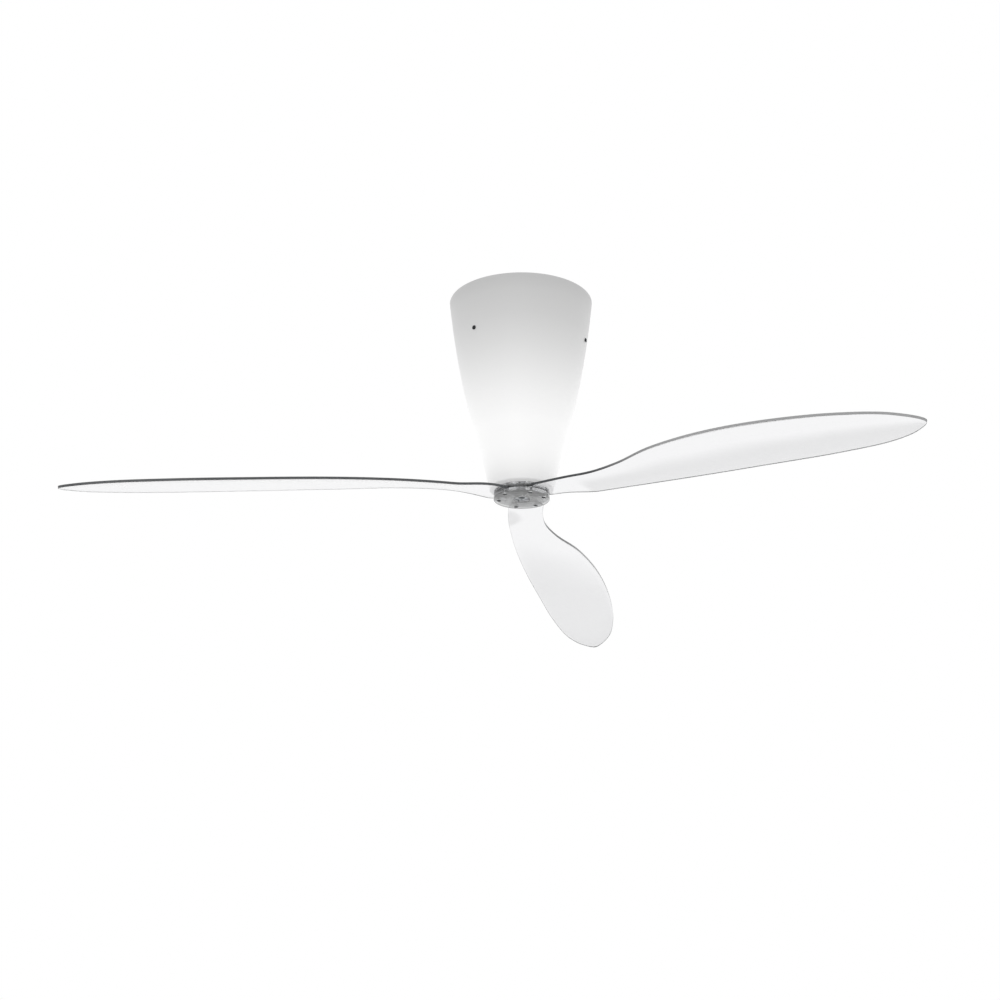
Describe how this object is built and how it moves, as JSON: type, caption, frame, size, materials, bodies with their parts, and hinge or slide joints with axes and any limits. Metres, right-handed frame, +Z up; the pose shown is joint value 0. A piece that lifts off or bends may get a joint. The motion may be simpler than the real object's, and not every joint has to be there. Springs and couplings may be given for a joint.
{
  "type": "ceiling fan with light",
  "caption": "Ceiling fan with clear acrylic blades clamped in a clear hub under an opal conical lamp shade that hides the motor and the lamps.",
  "frame": {"origin": "centre of the top face of the ceiling plate, where it lies against the ceiling", "axes": "+Z points up out of the plate into the ceiling, along the fan's shaft; +Y points along one blade at rest; +X completes the right-handed frame"},
  "size_m": [1.2559, 1.0988, 0.4108],
  "materials": {
    "zinc_plate": "zinc-plated sheet steel",
    "steel": "bright machined steel",
    "dark_steel": "blackened steel",
    "lamination": "stacked electrical steel",
    "cast_aluminium": "satin die casting",
    "white_paint": "white powder coat",
    "copper_winding": "enamelled copper wire",
    "brass_screw": "bright",
    "rubber": "matt black",
    "white_plastic": "moulded",
    "grey_plastic": "moulded",
    "opal_shade": "satin opal acrylic",
    "opal_globe": "frosted lamp globe",
    "clear_acrylic": "clear polished acrylic sheet",
    "porcelain": "glazed"
  },
  "bodies": {
    "ceiling_unit": {"ceiling_plate": "zinc_plate", "cable_grommet": "rubber", "earth_screw": "brass_screw", "hanger_stud_1": "steel", "hanger_stud_2": "steel", "hanger_stud_3": "steel", "shade_carrier": "zinc_plate", "vibration_bush_1": "rubber", "vibration_bush_2": "rubber", "vibration_bush_3": "rubber", "diffuser_shade": "opal_shade", "shade_screw_1": "dark_steel", "shade_screw_2": "dark_steel", "shade_screw_3": "dark_steel", "motor_top_cover": "cast_aluminium", "motor_bottom_cover": "cast_aluminium", "motor_bolt_1": "steel", "motor_bolt_2": "steel", "motor_bolt_3": "steel", "stator_core": "lamination", "stator_windings": "copper_winding", "top_bearing_outer_ring": "steel", "bottom_bearing_outer_ring": "steel", "preload_washer": "steel", "lamp_tray": "white_paint", "shaft_tube": "white_paint", "lampholder_1": "porcelain", "lampholder_2": "porcelain", "lamp_body_1": "white_plastic", "lamp_body_2": "white_plastic", "lamp_globe_1": "opal_globe", "lamp_globe_2": "opal_globe", "receiver_module": "white_plastic", "run_capacitor": "grey_plastic", "terminal_block": "white_plastic", "motor_lead": "rubber", "lamp_lead": "rubber"},
    "rotor": {"drive_shaft": "steel", "rotor_core": "lamination", "rotor_cage": "cast_aluminium", "top_bearing_inner_ring": "steel", "bottom_bearing_inner_ring": "steel", "hub_flange": "cast_aluminium", "flange_set_screw": "dark_steel", "hub_upper_disc": "clear_acrylic", "hub_lower_disc": "clear_acrylic", "hub_spacer": "clear_acrylic", "blade_1": "clear_acrylic", "blade_2": "clear_acrylic", "blade_3": "clear_acrylic", "blade_screw_1": "dark_steel", "blade_screw_2": "dark_steel", "blade_screw_3": "dark_steel", "blade_screw_4": "dark_steel", "blade_screw_5": "dark_steel", "blade_screw_6": "dark_steel", "hub_washer": "steel", "hub_bolt": "steel"},
    "top_ball_cage": {"top_bearing_balls": "steel"},
    "bottom_ball_cage": {"bottom_bearing_balls": "steel"}
  },
  "joints": [
    {"name": "rotor_spin", "type": "hinge", "parent": "ceiling_unit", "child": "rotor", "pos_m": [0, 0, -0.342], "axis": [0, 0, 1], "continuous": true},
    {"name": "top_cage_spin", "type": "hinge", "parent": "ceiling_unit", "child": "top_ball_cage", "pos_m": [0, 0, -0.0654], "axis": [0, 0, 1], "continuous": true},
    {"name": "bottom_cage_spin", "type": "hinge", "parent": "ceiling_unit", "child": "bottom_ball_cage", "pos_m": [0, 0, -0.1163], "axis": [0, 0, 1], "continuous": true}
  ],
  "couplings": [
    {"joint": "top_cage_spin", "follows": "rotor_spin", "ratio": 0.4075},
    {"joint": "bottom_cage_spin", "follows": "rotor_spin", "ratio": 0.4075}
  ]
}
